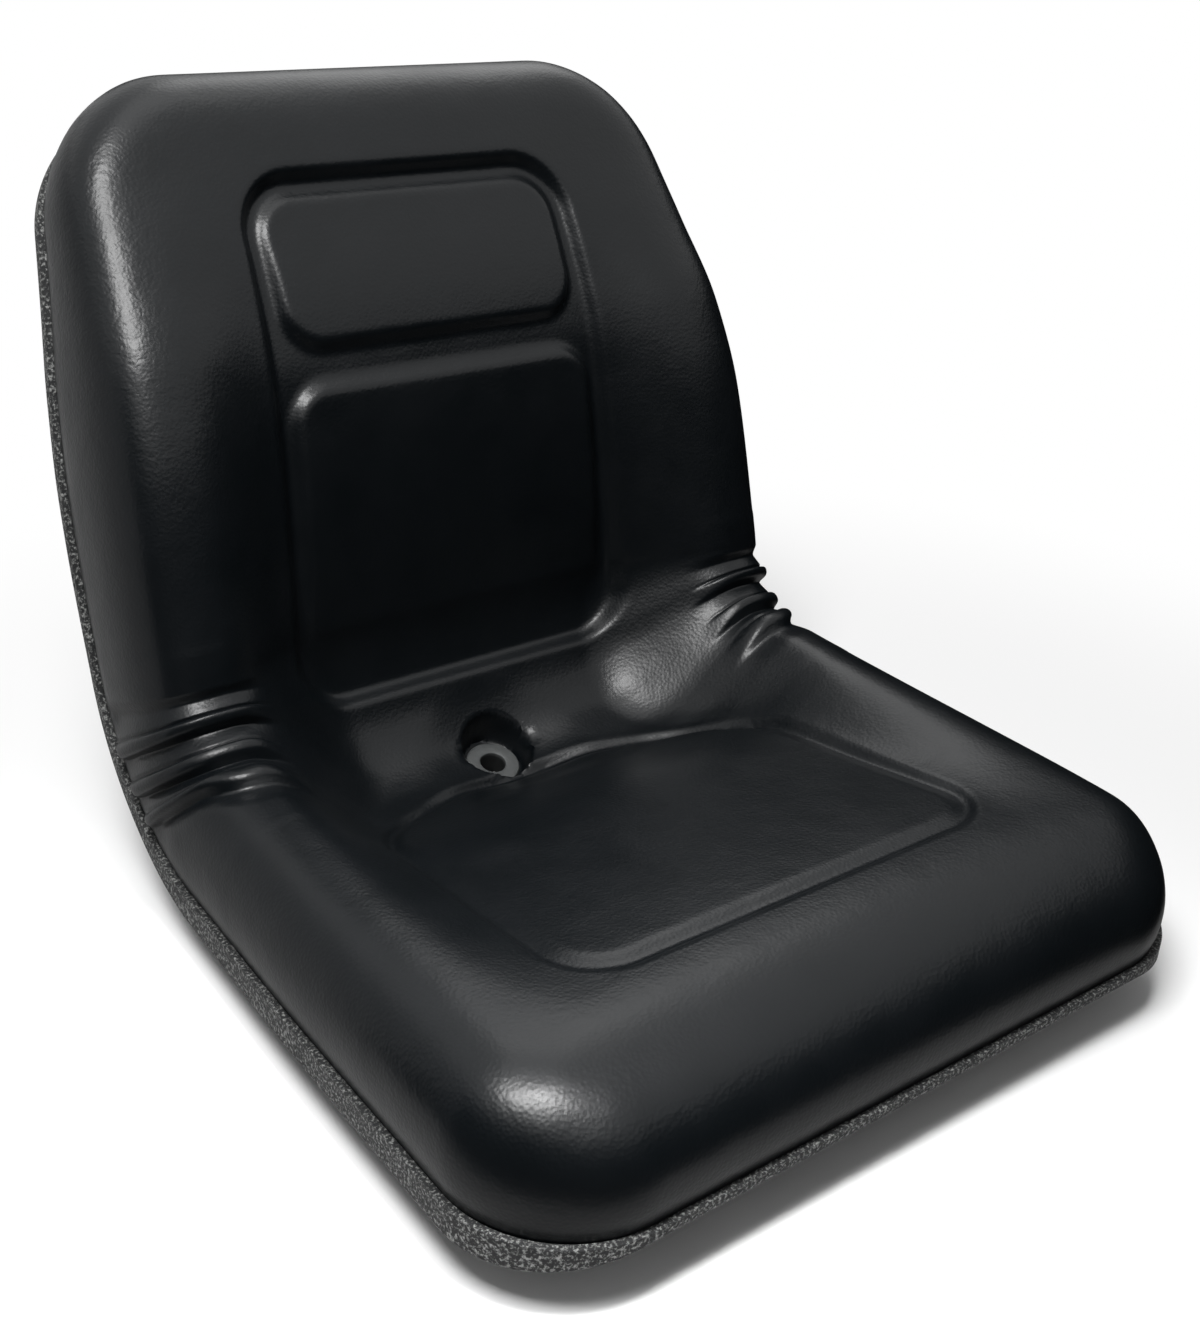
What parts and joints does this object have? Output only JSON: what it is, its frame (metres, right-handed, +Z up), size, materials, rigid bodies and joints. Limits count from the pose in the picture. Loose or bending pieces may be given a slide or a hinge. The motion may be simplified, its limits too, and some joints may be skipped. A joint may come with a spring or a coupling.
{
  "type": "ride on mower seat",
  "caption": "High-back bucket seat for a ride-on mower: seamless padded vinyl cushion with pleated bolsters and drain eyelet, on a moulded plastic pan with bolt-down bosses.",
  "frame": {"origin": "centre of the four seat bolts, on the flat underside of the pan", "axes": "+Z up, -Y the way the sitter faces, +X the sitter's left"},
  "size_m": [0.4778, 0.5924, 0.4446],
  "materials": {
    "vinyl_skin": "black vinyl with a soft sheen",
    "pan_plastic": "grained black moulding",
    "drain_grey": "dusty grey moulding",
    "insert_steel": "zinc plated"
  },
  "bodies": {
    "root": {"seat_cushion": "vinyl_skin", "seat_pan": "pan_plastic", "drain_bush": "drain_grey", "mount_inserts": "insert_steel"}
  },
  "joints": []
}
